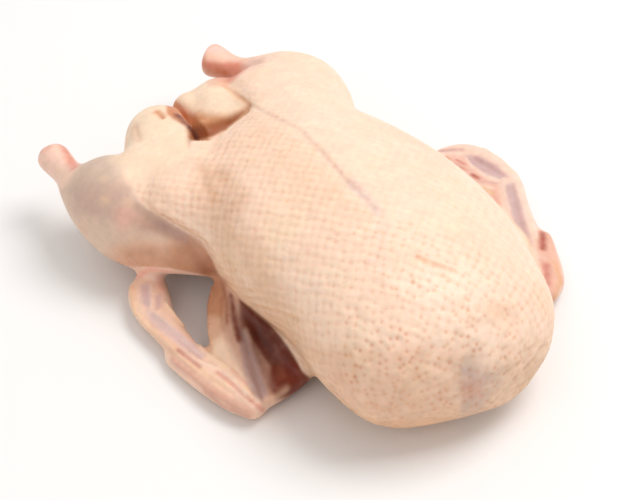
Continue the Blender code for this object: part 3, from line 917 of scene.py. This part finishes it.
BRUISE = [(458, 350), (474, 346), (486, 364), (506, 366), (504, 384), (488, 404), (462, 414), (456, 392)]
cloudy = np.clip(0.8 + 0.4 * cloud(8, 2.2), 0, 1)
TRUNK_SHADES = {
    # Painted shade in the hollow of the flank behind the flap.
    "flank's hollow": (
        [(196, 166), (230, 168), (244, 200), (232, 236), (206, 222)],
        30, 0.8, (214, 170, 138),
    ),
    # Painted shade below the breast's edge, with the skin's own orange-tan blotches.
    "painted shade and tan blotches under the breast": (
        [(318, 352), (350, 344), (400, 350), (462, 352), (466, 400), (400, 428), (330, 390)],
        26, 0.5, (218, 168, 134),
    ),
    # Painted shade low at the neck end.
    "neck end": (
        [(504, 352), (536, 340), (554, 340), (534, 384), (500, 406), (486, 410), (490, 376)],
        26, 0.35, (222, 186, 152),
    ),
    # Painted shade on the near side of the keel, away from the light.
    "painted shade on the keel's near side": (
        [(250, 114), (300, 138), (344, 184), (370, 214), (336, 226), (280, 196), (232, 150)],
        30, 0.35, (230, 194, 162),
    ),
    # Painted highlight on the middle of the breast.
    "painted highlight on the breast": (
        [(400, 280), (450, 270), (500, 296), (490, 340), (430, 335)],
        40, 0.5, (255, 233, 214),
    ),
    "shoulder dimple": ([(484, 306), (508, 304), (512, 316), (490, 320)], 14, 0.4, (236, 192, 158)),
    "over the breast crease": (
        [(404, 250), (414, 244), (428, 258), (412, 266)],
        12, 0.4, (248, 204, 172),
    ),
    # Painted shade where the flank hangs over the near wing.
    "painted shade where the flank hangs over the wing": (
        [(214, 230), (262, 236), (290, 300), (330, 372), (300, 350), (240, 292), (216, 262)],
        30, 0.55, (222, 180, 144),
    ),
    "bruise": (BRUISE, 24, 0.8, (212, 186, 166)),
    "grey core of the bruise": (
        [(462, 368), (476, 366), (490, 378), (482, 386), (466, 384)],
        12, 0.8, (186, 160, 156),
    ),
    "rosy core of the bruise": (
        [(460, 382), (482, 380), (482, 398), (462, 402)],
        10, 0.7, (214, 162, 142),
    ),
    "lilac core of the bruise": (
        [(462, 400), (484, 396), (482, 410), (462, 416)],
        12, 0.5, (190, 166, 160),
    ),
}
tint = with_patches(tint, TRUNK_SHADES.values(), cloudy)
print("trunk painted, tints", [round(float(v), 2) for v in tint[:, :3].mean(axis=0)])

# %% [markdown]
# ## The legs
# The skin over the near drumstick is thin, so the grey and mauve muscle shows through, brown low
# down. Under the flap's edge and in the corner by the body it gets a painted purple and brown
# shade. The flap itself keeps the trunk's cream and ends in a clear edge. The cut shanks are raw:
# pale where the joint's gristle is, coral at the side.

# %% Paint the legs
FLAP_OUTLINE = FLAP_EDGE + [(250, 290), (260, 200), (200, 150), (150, 175)]
NEAR_STUB_OUTLINE = [(28, 128), (66, 128), (80, 164), (70, 178), (60, 192), (36, 184)]
FAR_STUB_OUTLINE = [(192, 36), (240, 38), (266, 56), (264, 66), (240, 74), (228, 84), (204, 84)]
under_flap = 1 - inside(FLAP_OUTLINE, 3)
DRUMSTICK_SHADES = {
    "whole drumstick": (DRUMSTICK_OUTLINE, 7, 0.95, (223, 194, 173)),
    "upper muscle": (
        [(68, 176), (95, 150), (120, 148), (124, 170), (112, 186), (85, 192), (70, 192)],
        14, 0.7, (210, 188, 172),
    ),
    "lower muscle": (
        [(68, 190), (95, 180), (126, 186), (146, 210), (130, 224), (100, 218), (74, 214)],
        18, 0.7, (204, 172, 160),
    ),
    "coral spot": (
        [(116, 208), (128, 205), (135, 214), (131, 227), (121, 232), (114, 222)],
        14, 0.5, (238, 180, 162),
    ),
    # Painted shade under the flap's overhang.
    "shade under the flap": (
        [(134, 202), (150, 208), (166, 218), (190, 232), (200, 242), (180, 242), (160, 237),
         (142, 228)],
        7, 0.75, (204, 168, 150),
    ),
    "warm underside": (
        [(100, 266), (116, 248), (140, 242), (165, 244), (190, 240), (214, 250), (224, 284),
         (120, 280)],
        26, 0.8, (226, 172, 140),
    ),
    "brown thigh end": (
        [(170, 246), (192, 238), (210, 248), (218, 264), (224, 284), (182, 280), (166, 264)],
        24, 0.85, (196, 140, 108),
    ),
    # Painted shade in the corner between drumstick, flank and wing.
    "painted shade in the corner by the body": ([(194, 262), (212, 254), (226, 286), (196, 284)], 8, 0.7, (178, 120, 92)),
    "mauve under the coral spot": (
        [(128, 216), (148, 213), (158, 230), (138, 236)],
        14, 0.55, (192, 152, 134),
    ),
    "tan under that": ([(120, 249), (156, 247), (162, 264), (128, 264)], 16, 0.5, (196, 138, 106)),
}
tint = with_patches(tint, DRUMSTICK_SHADES.values(), under_flap)
DRUMSTICK_LINES = {
    # Painted purple shade along the flap's edge.
    "purple shade": ([(160, 224), (172, 230), (184, 236)], 4.5, 0.7, (190, 148, 138)),
    "lower edge": (
        [(112, 260), (130, 267), (150, 269), (175, 274), (214, 279)],
        4.0, 0.5, (212, 152, 118),
    ),
    "pale tendon": ([(66, 208), (82, 234), (104, 254)], 4.5, 0.35, (238, 212, 188)),
    "upper fleck": ([(102, 178), (105, 179)], 3.0, 0.5, (238, 208, 176)),
    "lower fleck": ([(104, 200), (107, 201)], 3.2, 0.5, (238, 204, 170)),
    "fleck by the flap": ([(126, 202), (130, 203)], 3.0, 0.5, (238, 206, 174)),
}
tint = with_strokes(tint, DRUMSTICK_LINES.values(), under_flap)
STUB_SHADES = {
    "near stub": (NEAR_STUB_OUTLINE, 7, 0.95, (246, 210, 192)),
    "far stub": (FAR_STUB_OUTLINE, 5, 0.95, (247, 204, 184)),
    "red side of the far stub": (
        [(198, 60), (206, 61), (222, 63), (240, 62), (248, 66), (236, 78), (224, 88), (208, 86)],
        6, 0.9, (222, 138, 114),
    ),
}
tint = with_patches(tint, STUB_SHADES.values(), everywhere)
STUB_LINES = {
    "coral side of the near stub": (
        [(56, 139), (62, 143), (68, 154), (75, 167)],
        4.5, 0.8, (222, 140, 122),
    ),
    "its upper edge": ([(44, 150), (56, 140)], 3.0, 0.6, (230, 168, 150)),
    "its cut end": ([(38, 158), (48, 174)], 3.0, 0.5, (238, 186, 168)),
    "its pale underside": ([(60, 172), (66, 180)], 5.0, 0.6, (238, 208, 184)),
    "cut end of the far stub": ([(201, 50), (203, 60)], 3.2, 0.7, (222, 148, 124)),
    "its pale top": ([(208, 49), (222, 48)], 4.5, 0.6, (250, 208, 200)),
    "torn skin below it": ([(219, 71), (223, 73)], 3.5, 0.8, (206, 122, 80)),
    "pale skin beside it": ([(243, 66), (252, 63), (260, 61)], 3.0, 0.6, (226, 188, 176)),
}
tint = with_strokes(tint, STUB_LINES.values(), everywhere)
DRUMSTICK_SPECKS = [(128, 262), (150, 265), (172, 270)]
tint = with_specks(tint, DRUMSTICK_SPECKS, 2.5, 9, 1.1, (190, 104, 62))
raw_joints = np.maximum(inside(NEAR_STUB_OUTLINE, 8), inside(FAR_STUB_OUTLINE, 8))
print("legs painted,", int((raw_joints > 0.5).sum()), "vertices are raw joint")

# %% [markdown]
# ## Tail, fat and vent
# The tail and the lobe of fat are the palest parts. Between them the vent opens: orange-brown
# flesh beside a slit, and a hollow under the rim of the belly's skin. The slit and the hollow get
# painted shade: orange-brown on the slope, brown at the rim and dark in the slit.

# %% Paint the tail and the vent
RIM_OUTLINE = [
    (190, 141), (198, 140), (213, 136), (225, 130), (236, 121), (250, 110), (300, 200),
    (190, 200),
]
under_rim = 1 - inside(RIM_OUTLINE, 3)
VENT_SHADES = {
    "tail": (TAIL_OUTLINE, 16, 0.6, (252, 228, 200)),
    # Painted shade, orange-brown, on the tail's root where it slopes down under the rim.
    "painted shade on the slope into the hollow": (
        [(188, 116), (198, 112), (214, 115), (232, 116), (250, 106), (244, 124), (214, 145),
         (192, 145), (188, 128)],
        12, 0.85, (200, 130, 74),
    ),
    # Painted shade, darker brown, right under the rim.
    "painted brown shade in the hollow": (
        [(188, 128), (204, 124), (224, 119), (242, 112), (240, 124), (214, 145), (190, 146)],
        9, 0.85, (144, 76, 26),
    ),
    "near side of the slit": (
        [(166, 104), (173, 98), (181, 105), (188, 116), (192, 128), (182, 124), (173, 119),
         (167, 114)],
        4, 0.9, (208, 130, 86),
    ),
}
tint = with_patches(tint, VENT_SHADES.values(), under_rim)
VENT_SLIT = [(178, 115), (184, 121), (190, 127), (198, 140)]
VENT_LINES = {
    # Painted shade in the slit, darkest at its end.
    "slit": (VENT_SLIT, 3.2, 0.95, (130, 66, 46)),
    "painted dark shade at the end of the slit": ([(190, 128), (198, 140)], 2.2, 0.9, (84, 34, 24)),
    # Painted shade under the rim's edge.
    "painted shade under the rim": ([(200, 133), (212, 131), (224, 126)], 3.2, 0.5, (166, 94, 60)),
    "nick": ([(157, 112), (163, 118)], 2.8, 0.85, (212, 140, 94)),
    "crease in the fat": ([(134, 128), (139, 141)], 4.0, 0.5, (236, 196, 166)),
}
tint = with_strokes(tint, VENT_LINES.values(), under_rim)
vent_flesh = closeness(VENT_SLIT, 7 * MM)
print("vent painted,", int((vent_flesh > 0.5).sum()), "vertices are wet flesh")

# %% [markdown]
# ## The near wing
# From the tip inwards: coral web and two mauve hollows at the finger, a mauve stripe of muscle
# between cream ridges along the hand, coral and pale tendons at the thumb and wrist, then the
# forearm. Its inner side, under the body, gets a painted dark red shade, and a painted shadow of
# the leg falls on the forearm. The web where the leg shades it gets a painted light.

# %% Paint the near wing
WING_TOP, WING_TOP_SOFT = 46 * MM, 6 * MM
wing_height = eased((WING_TOP - places[:, 2]) / WING_TOP_SOFT)
near_wing = inside(NEAR_WING_OUTLINE, 2.5) * wing_height
NEAR_WING_SHADES = {
    "whole wing": (NEAR_WING_OUTLINE, 2.5, 0.95, (248, 211, 188)),
    # Painted light: the web is painted paler where the leg's shadow falls on it.
    "painted light on the web by the tip": (
        [(142, 266), (172, 268), (170, 290), (178, 316), (168, 316), (163, 296), (154, 283),
         (144, 277)],
        5, 0.95, (255, 220, 202),
    ),
    "muscle of the hand": (
        [(146, 310), (158, 315), (176, 329), (193, 342), (208, 354), (200, 360), (184, 349),
         (166, 336), (151, 322)],
        5, 0.9, (222, 194, 192),
    ),
    "outer hollow of the finger": (
        [(140, 285), (149, 283), (152, 297), (149, 309), (142, 304)],
        5, 0.9, (218, 188, 188),
    ),
    "inner hollow of the finger": (
        [(155, 295), (161, 294), (162, 306), (156, 311)],
        4, 0.85, (220, 184, 180),
    ),
    "forearm": (
        [(206, 276), (222, 278), (240, 298), (262, 322), (292, 356), (308, 376), (285, 394),
         (272, 396), (262, 400), (246, 388), (232, 372), (208, 352)],
        5, 0.9, (200, 154, 130),
    ),
    "outer edge of the forearm": (
        [(204, 276), (222, 276), (225, 300), (223, 330), (230, 362), (206, 352)],
        7, 0.85, (232, 186, 154),
    ),
    # Painted shadow of the leg on the forearm.
    "shade under the leg": (
        [(204, 274), (224, 274), (227, 298), (222, 318), (206, 314)],
        10, 0.7, (198, 130, 90),
    ),
    # Painted shade: the inner side under the body is painted dark red, darkest in its corner.
    "painted dark red shade on the inner side": (
        [(240, 296), (256, 302), (272, 314), (292, 340), (302, 364), (286, 376), (268, 364),
         (254, 344), (244, 322)],
        5, 0.95, (104, 34, 14),
    ),
    "painted red brown shade in the corner": (
        [(270, 366), (290, 360), (304, 368), (314, 382), (288, 398), (276, 400), (269, 386)],
        6, 0.95, (118, 34, 6),
    ),
    "cream wrist": (
        [(214, 342), (224, 334), (231, 348), (240, 366), (251, 386), (240, 386), (226, 366),
         (213, 354)],
        12, 0.75, (252, 224, 198),
    ),
    "grey muscle": (
        [(236, 326), (246, 332), (258, 356), (268, 390), (264, 404), (252, 394), (243, 368)],
        7, 0.85, (170, 141, 138),
    ),
}
tint = with_patches(tint, NEAR_WING_SHADES.values(), near_wing)
NEAR_WING_LINES = {
    "coral edge of the tip": (
        [(126, 286), (138, 276), (150, 269), (168, 272)],
        2.6, 0.7, (252, 178, 158),
    ),
    # Painted light on the web where the leg shades it.
    "painted light where the leg shades the web": ([(160, 278), (162, 290)], 3.4, 0.7, (255, 204, 186)),
    # Painted shade along the inner side: its dark edge, and a lighter band in it.
    "dark edge of the inner side": ([(241, 300), (243, 314), (244, 326)], 2.8, 0.85, (118, 58, 40)),
    "lighter band in it": ([(275, 354), (280, 366), (283, 376)], 2.6, 0.45, (164, 100, 76)),
    "hand's outer edge": (
        [(130, 288), (133, 312), (140, 328), (152, 334), (172, 352)],
        2.6, 0.5, (226, 176, 140),
    ),
    "outer bone of the hand": (NEAR_HAND_OUTER, 2.6, 0.6, (248, 208, 172)),
    "inner bone of the hand": (NEAR_HAND_INNER, 2.2, 0.75, (252, 216, 184)),
    "line in the muscle": ([(152, 325), (168, 340), (184, 353)], 1.2, 0.5, (234, 182, 156)),
    "tendon between the hollows": ([(151, 284), (153, 308)], 1.3, 0.7, (250, 224, 208)),
    "thumb": (NEAR_THUMB, 4.0, 0.65, (210, 154, 136)),
    "thumb's lower side": ([(206, 392), (222, 406), (248, 417)], 3.2, 0.7, (206, 150, 130)),
    "red groove of the thumb": ([(178, 350), (188, 358), (200, 367)], 1.4, 0.9, (200, 134, 124)),
    "red line of the wrist": (
        [(218, 372), (236, 387), (252, 402), (264, 411)],
        1.6, 0.8, (216, 146, 130),
    ),
    "red line above it": ([(232, 370), (246, 384)], 1.6, 0.7, (224, 162, 150)),
    "tendon of the wrist": (WRIST_TENDON, 1.2, 0.9, (248, 222, 204)),
    "tendon of the thumb": (THUMB_TENDON, 1.1, 0.8, (248, 216, 196)),
    "brown line of the forearm": ([(222, 282), (226, 300), (227, 322)], 1.8, 0.85, (168, 104, 74)),
    "groove between the bones": ([(231, 296), (234, 316), (239, 340)], 2.2, 0.95, (126, 52, 30)),
    "mauve edge": ([(254, 346), (264, 368), (271, 386)], 2.8, 0.7, (162, 120, 108)),
    # Painted shade, the darkest of the inner side.
    "darkest shade": ([(258, 334), (270, 348), (277, 362)], 3.0, 0.6, (88, 36, 26)),
    "pale elbow": ([(266, 402), (276, 398), (286, 390)], 3.0, 0.7, (236, 196, 168)),
}
tint = with_strokes(tint, NEAR_WING_LINES.values(), near_wing)
FOREARM_SPECKS, CORNER_SPECKS = [(208, 288), (209, 330)], [(276, 388), (284, 372)]
tint = with_specks(tint, FOREARM_SPECKS, 2.5, 10, 1.0, (196, 104, 58))
tint = with_specks(tint, CORNER_SPECKS, 2.0, 4, 1.0, (180, 84, 40))
print("near wing painted,", int((near_wing > 0.5).sum()), "vertices")

# %% [markdown]
# ## The far wing
# It shows the same things from its outer side: mauve muscle in long hollows between cream
# tendons, small coral tears where it meets the breast, and a raw coral thumb.

# %% Paint the far wing
far_wing = inside(FAR_WING_OUTLINE, 2.5) * wing_height
FAR_WING_SHADES = {
    "whole wing": (FAR_WING_OUTLINE, 2.5, 0.95, (242, 212, 196)),
    "torn flesh": (
        [(446, 154), (466, 156), (478, 172), (498, 184), (502, 204), (488, 206), (466, 184),
         (444, 162)],
        5, 0.7, (230, 178, 160),
    ),
    "thumb": (
        [(534, 232), (550, 226), (560, 262), (564, 284), (552, 304), (546, 292), (540, 262)],
        4, 0.85, (232, 180, 158),
    ),
    "muscle of the finger": (
        [(465, 155), (480, 156), (496, 165), (509, 177), (500, 179), (484, 173), (471, 164)],
        5, 0.9, (202, 170, 172),
    ),
    "muscle of the hand": (
        [(505, 185), (514, 182), (520, 200), (527, 225), (533, 246), (525, 242), (514, 222),
         (507, 203)],
        5, 0.9, (200, 170, 170),
    ),
}
tint = with_patches(tint, FAR_WING_SHADES.values(), far_wing)
FAR_WING_LINES = {
    "outer bone": (FAR_HAND_OUTER, 2.4, 0.7, (250, 222, 206)),
    "mauve line at the elbow": ([(440, 151), (452, 150), (462, 150)], 1.8, 0.9, (204, 158, 154)),
    "tendon of the finger": (FAR_FINGER_TENDON, 1.3, 0.9, (250, 222, 206)),
    "grey line below it": ([(478, 181), (497, 183)], 1.0, 0.7, (200, 162, 162)),
    "inner bone": (FAR_HAND_INNER, 1.6, 0.85, (240, 214, 200)),
    "coral joint": ([(526, 240), (530, 250)], 2.2, 0.6, (222, 158, 142)),
    "first tear": ([(446, 157), (450, 159)], 1.5, 0.85, (216, 134, 86)),
    "second tear": ([(457, 160), (464, 164)], 1.8, 0.85, (206, 122, 104)),
    "third tear": ([(473, 175), (478, 178)], 1.9, 0.95, (176, 82, 62)),
    "fourth tear": ([(476, 189), (479, 192)], 1.6, 0.95, (180, 96, 50)),
    "fifth tear": ([(484, 198), (489, 202)], 1.9, 0.85, (206, 124, 100)),
    "coral beside the bone": ([(492, 190), (496, 200), (502, 210)], 1.6, 0.6, (220, 154, 136)),
    "dark red of the thumb": ([(543, 234), (543, 248)], 3.0, 0.95, (172, 82, 66)),
    "pale band of the thumb": ([(539, 256), (545, 258)], 2.0, 0.7, (236, 206, 194)),
    "coral of the thumb": ([(546, 266), (547, 288)], 3.4, 0.85, (204, 130, 118)),
    "tan edge of the thumb": ([(556, 264), (561, 282), (553, 302)], 2.6, 0.85, (232, 178, 138)),
    "pale tendon": ([(464, 172), (476, 184), (492, 188)], 1.6, 0.7, (242, 220, 200)),
    "coral line": ([(450, 161), (466, 170)], 1.4, 0.7, (210, 136, 112)),
    "cream fat": ([(480, 187), (492, 193)], 2.2, 0.7, (226, 192, 152)),
    "red line by the breast": ([(494, 205), (508, 222), (520, 240)], 1.4, 0.6, (216, 148, 126)),
}
tint = with_strokes(tint, FAR_WING_LINES.values(), far_wing)
print("far wing painted,", int((far_wing > 0.5).sum()), "vertices")

# %% [markdown]
# ## Pores and wetness
# Each pore is already marked. At the neck end the pores are pinkish orange and stronger, and some
# are stronger than others everywhere. Raw flesh is wet, plucked skin is nearly dry.

# %% Paint the pores and the wetness
PORE_ORANGE = (222, 160, 126)
PAINT_RUNS = 1
tint = softened(tint, PAINT_RUNS)
tint[:, :3] *= (1 + 0.07 * cloud(3, 4.7) + 0.06 * cloud(8, 6.1))[:, None]
uneven = 0.5 + 0.5 * cloud(9, 5.5) + 0.3 * cloud(4, 2.9)
tint = glazed(tint, np.clip(pores ** 1.5 * lumpiness * uneven * 0.6, 0, 1), PORE_ORANGE)
tint = glazed(tint, np.clip(pores * uneven * 0.08, 0, 1), PORE_ORANGE)
tint = np.clip(tint, 0, 1)
wetness = np.clip(0.8 * raw_joints + 0.7 * near_wing + 0.7 * far_wing + vent_flesh, 0, 1)
wetness = np.maximum(wetness, 0.35 * inside(DRUMSTICK_OUTLINE, 8) * under_flap)
print("wettest", round(float(wetness.max()), 2), "mean", round(float(wetness.mean()), 3))

# %% [markdown]
# ## Store the paint
# The shader reads the paint as attributes of the mesh: a colour, and a number for the wetness.

# %% Store the paint
tint_layer = skin.data.attributes.new("tint", "FLOAT_COLOR", "POINT")
tint_layer.data.foreach_set("color", tint.astype(np.float32).ravel())
painted_values(skin.data, "wetness", wetness)
skin.data.shade_smooth()
print("attributes:", sorted(layer.name for layer in skin.data.attributes if not layer.is_internal))

# %% [markdown]
# ## Floor and light
# The bird lies on a plain pale floor. The light is large and soft and comes mostly from above the
# far side, so the near flank falls off into a warm shade. The sky fills the shade.

# %% Floor, sky and lamps
FLOOR_SIZE = 6.0
floor_mesh = bpy.data.meshes.new("floor")
half = FLOOR_SIZE / 2
floor_mesh.from_pydata(
    [(-half, -half, 0), (half, -half, 0), (half, half, 0), (-half, half, 0)], [], [(0, 1, 2, 3)]
)
floor = piece_from("floor", floor_mesh)
floor_material = bpy.data.materials.new("pale_floor")
floor_material.use_nodes = True
floor_shader = floor_material.node_tree.nodes["Principled BSDF"]
set_inputs(floor_shader, {"Base Color": (0.9, 0.9, 0.9, 1), "Roughness": 0.7, "Specular IOR Level": 0.1})
floor_mesh.materials.append(floor_material)

SKY_STRENGTH = 0.6
sky = bpy.data.worlds.new("sky")
sky.use_nodes = True
set_inputs(sky.node_tree.nodes["Background"], {"Color": (1.0, 0.985, 0.965, 1), "Strength": SKY_STRENGTH})
bpy.context.scene.world = sky


def soft_lamp(name, place, size, watts, shade):
    """A square lamp that shines at the bird."""
    light = bpy.data.lights.new(name, "AREA")
    light.size = size
    light.energy = watts
    light.color = shade
    lamp = bpy.data.objects.new(name, light)
    lamp.location = place
    lamp.rotation_euler = (Vector(place) - AIM).to_track_quat("Z", "Y").to_euler()
    bpy.context.collection.objects.link(lamp)
    return lamp


soft_lamp("key_lamp", (0.3, 0.6, 1.4), 0.85, 14.5, (1.0, 0.97, 0.955))
soft_lamp("tail_lamp", (-1.2, 0.1, 1.3), 0.8, 2.0, (1.0, 0.98, 0.96))
soft_lamp("near_lamp", (0.1, -1.3, 0.9), 1.0, 2.6, (1.0, 0.98, 0.96))
bpy.context.scene.view_settings.view_transform = "Standard"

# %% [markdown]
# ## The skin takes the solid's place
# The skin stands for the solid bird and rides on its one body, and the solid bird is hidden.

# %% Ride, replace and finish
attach(skin, "root")
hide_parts("duck")
